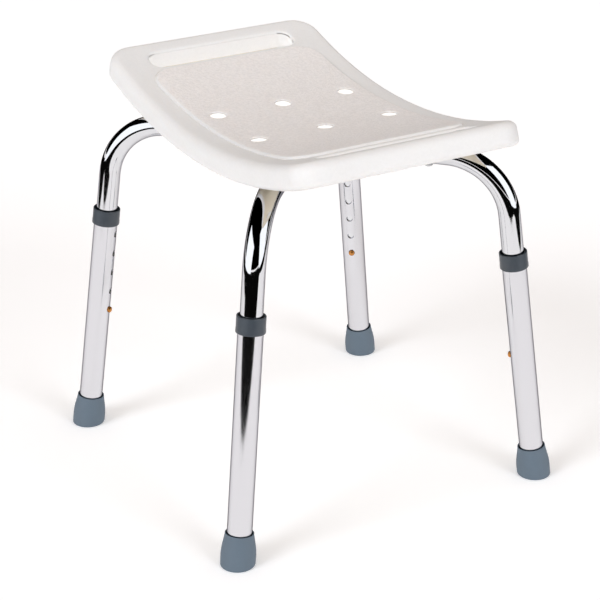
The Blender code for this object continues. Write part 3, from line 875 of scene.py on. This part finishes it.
rubber = moulded_rubber()
for corner in CORNERS:
    foot, axis, _, inward = leg_frame(corner)
    across_leg = axis.cross(inward)
    bore = LEG_RADIUS + 0.3 * MM
    rim = bore + TIP_WALL
    profile = [(1 * MM, TIP_FLOOR), (bore, TIP_FLOOR), (bore, TIP_HEIGHT - 3.5 * MM)]
    profile += [(bore + 0.6 * TIP_MOUTH, TIP_HEIGHT - 0.8 * MM)]
    profile += [(bore + TIP_MOUTH, TIP_HEIGHT - 0.2 * MM)]
    profile += rounded(rim - 0.5 * MM, TIP_HEIGHT - 0.5 * MM, 0.5 * MM, 90, 10, 3)
    for k in range(1, 17):
        fall = k / 16
        swell = sin(pi / 2 * fall) ** 1.25
        profile.append((rim + TIP_FLARE * swell, TIP_HEIGHT * (0.965 - 0.685 * fall)))
    rings = [circle(foot + axis * high, inward, across_leg, radius) for radius, high in profile]
    base_radius = rim + 0.95 * TIP_FLARE
    sole = [(base_radius, 1.6 * MM), (base_radius - 0.3 * MM, 0.8 * MM)]
    sole += [(base_radius - 0.9 * MM, 0.2 * MM), (base_radius - 1.6 * MM, 0)]
    for tread in range(TREADS):
        edge = base_radius - 4 * MM - tread * TREAD_PITCH
        sole += [(edge, 0), (edge - 0.3 * MM, TREAD_DEPTH)]
        sole += [(edge - 2 * MM, TREAD_DEPTH), (edge - 2.3 * MM, 0)]
    sole.append((1 * MM, 0))
    for radius, level in sole:
        ring = circle(foot, inward, across_leg, radius)
        rings.append([point + axis * ((level - point.z) / axis.z) for point in ring])
    work = bmesh.new()
    join_rings(work, rings, closed=False)
    tip = finished(f"ferrule_{corner}", work, [rubber])
    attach(tip, f"leg_{corner}")
    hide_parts(f"rubber_tip_{corner}")
    frame["nodes"][f"tip_washer_{corner}"].data.materials[0] = zinc


# ---------------------------------------------------------------- studio
# The stool stands on white paper, under two broad lamps and a pale sky. The camera is to the right
# of its front and above it. The bright metal shows painted reflections: glowing sheets for two soft
# boxes and black sheets for the dark round the paper, which only the metal sees.

AIM = Vector((-28.7, 10.2, 185.9)) * MM
AZIMUTH, ELEVATION, ROLL = radians(60.04), radians(24.2), radians(-0.35)
DISTANCE = 2406.7 * MM
LENS, SENSOR = 118.25, 36


def bearing(azimuth, elevation):
    """The direction to a place round the stool. Azimuth 0 is its front, and 90 its right end."""
    flat = cos(elevation)
    return Vector((sin(azimuth) * flat, -cos(azimuth) * flat, sin(elevation)))


def facing(direction):
    """A turn that points something's own -Z back along a direction, with its X level."""
    level = Vector((0, 0, 1)).cross(direction).normalized()
    return Matrix((level, direction.cross(level), direction)).transposed()


back = bearing(AZIMUTH, ELEVATION)
camera = bpy.data.objects.new("camera", bpy.data.cameras.new("camera"))
camera.data.lens, camera.data.sensor_width = LENS, SENSOR
camera.data.clip_end = 100
turned_view = facing(back).to_4x4() @ Matrix.Rotation(ROLL, 4, "Z")
camera.matrix_world = Matrix.Translation(AIM + back * DISTANCE) @ turned_view
bpy.context.scene.collection.objects.link(camera)
bpy.context.scene.camera = camera


def flat_sheet(name, width, height, material):
    """A rectangle in its own XY plane."""
    corners = [(-width / 2, -height / 2, 0), (width / 2, -height / 2, 0)]
    corners += [(width / 2, height / 2, 0), (-width / 2, height / 2, 0)]
    mesh = bpy.data.meshes.new(name)
    mesh.from_pydata(corners, [], [(0, 1, 2, 3)])
    mesh.materials.append(material)
    sheet = bpy.data.objects.new(name, mesh)
    bpy.context.scene.collection.objects.link(sheet)
    sheet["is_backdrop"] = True
    return sheet


paper, _, paper_shader = new_material("white_paper")
paper_shader.inputs["Base Color"].default_value = linear("f8f8f8")
paper_shader.inputs["Roughness"].default_value = 0.9
paper_shader.inputs["Specular IOR Level"].default_value = 0
paper_shader.inputs["Emission Color"].default_value = (1, 1, 1, 1)
paper_shader.inputs["Emission Strength"].default_value = 0.21
floor = flat_sheet("floor", 60, 60, paper)
floor.location.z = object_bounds()[0].z

# A black sheet that only the metal sees, for painted reflections of shade.
shade_reflection_material, _, card_shader = new_material("painted_shade_card")
card_shader.inputs["Base Color"].default_value = linear("0a0a0a")
card_shader.inputs["Specular IOR Level"].default_value = 0
PAPER_TURN = radians(50)
PAPER_FRONT, PAPER_REAR, PAPER_LEFT, PAPER_RIGHT = 0.84, 1.10, 1.36, 1.30
DARK_REACH = 6


def unseen_card(card):
    """Let a card show only as a reflection in the bright metal."""
    card.visible_camera = False
    card.visible_diffuse = False
    card.visible_shadow = False
    card.visible_transmission = False


# Black sheets that only the metal sees give painted reflections of the dark studio beyond the lit
# paper in the polished tubes.
ahead, aside = bearing(PAPER_TURN, 0), bearing(PAPER_TURN + pi / 2, 0)
surrounds = (
    ("dark_front", (PAPER_FRONT + DARK_REACH) / 2, 0, DARK_REACH - PAPER_FRONT, 2 * DARK_REACH),
    ("dark_rear", -(PAPER_REAR + DARK_REACH) / 2, 0, DARK_REACH - PAPER_REAR, 2 * DARK_REACH),
    ("dark_left", 0, -(PAPER_LEFT + DARK_REACH) / 2, 2 * DARK_REACH, DARK_REACH - PAPER_LEFT),
    ("dark_right", 0, (PAPER_RIGHT + DARK_REACH) / 2, 2 * DARK_REACH, DARK_REACH - PAPER_RIGHT),
)
for layer, (name, forward, sideways, deep, wide) in enumerate(surrounds, 1):
    card = flat_sheet(name, wide, deep, shade_reflection_material)
    at = ahead * forward + aside * sideways + Vector((0, 0, floor.location.z + layer * 0.5 * MM))
    card.matrix_world = Matrix.Translation(at) @ Matrix.Rotation(PAPER_TURN, 4, "Z")
    unseen_card(card)

LAMP_SPREAD = radians(26)
LAMPS = (("lamp_left", 10, 36, 1.26), ("lamp_right", 102, 28, 0.98))
for name, azimuth, elevation, strength in LAMPS:
    lamp = bpy.data.objects.new(name, bpy.data.lights.new(name, "SUN"))
    lamp.data.angle = LAMP_SPREAD
    lamp.data.energy = strength
    lamp.data.color = linear("f0f7ff")[:3]
    lamp.visible_glossy = False
    lamp.matrix_world = facing(bearing(radians(azimuth), radians(elevation))).to_4x4()
    bpy.context.scene.collection.objects.link(lamp)

# The lamps and the sky light the stool but aren't mirrored. These glowing sheets light nothing and
# are painted reflections of soft boxes in the metal.
soft_box, _, box_shader = new_material("painted_reflection_soft_box")
box_shader.inputs["Base Color"].default_value = (0, 0, 0, 1)
box_shader.inputs["Specular IOR Level"].default_value = 0
box_shader.inputs["Emission Color"].default_value = linear("fafcff")
box_shader.inputs["Emission Strength"].default_value = 1.35
BOX_DISTANCE = 3
BOXES = (("box_left", 0, 21, 3.9, 2.3), ("box_right", 122, 25, 2.8, 2.9))
for name, azimuth, elevation, width, height in BOXES:
    card = flat_sheet(name, width, height, soft_box)
    toward = bearing(radians(azimuth), radians(elevation))
    card.matrix_world = Matrix.Translation(toward * BOX_DISTANCE) @ facing(toward).to_4x4()
    unseen_card(card)

world = bpy.data.worlds.new("studio")
world.use_nodes = True
bpy.context.scene.world = world
world.cycles_visibility.glossy = False
sky = world.node_tree
place = add(sky, "ShaderNodeTexCoord")
split = add(sky, "ShaderNodeSeparateXYZ", links={"Vector": (place, "Generated")})
height = add(
    sky, "ShaderNodeMapRange", links={"Value": (split, "Z")},
    From_Min=0.0, From_Max=0.9, To_Min=0.78, To_Max=0.54,
)
sky.links.new(height.outputs["Result"], sky.nodes["Background"].inputs["Strength"])
tint = add(sky, "ShaderNodeMix", {"data_type": "RGBA"}, {0: (split, "Z")})
tint.inputs[6].default_value = linear("e9f1ff")
tint.inputs[7].default_value = linear("ffebd8")
sky.links.new(tint.outputs[2], sky.nodes["Background"].inputs["Color"])
bpy.context.scene.view_settings.view_transform = "Standard"
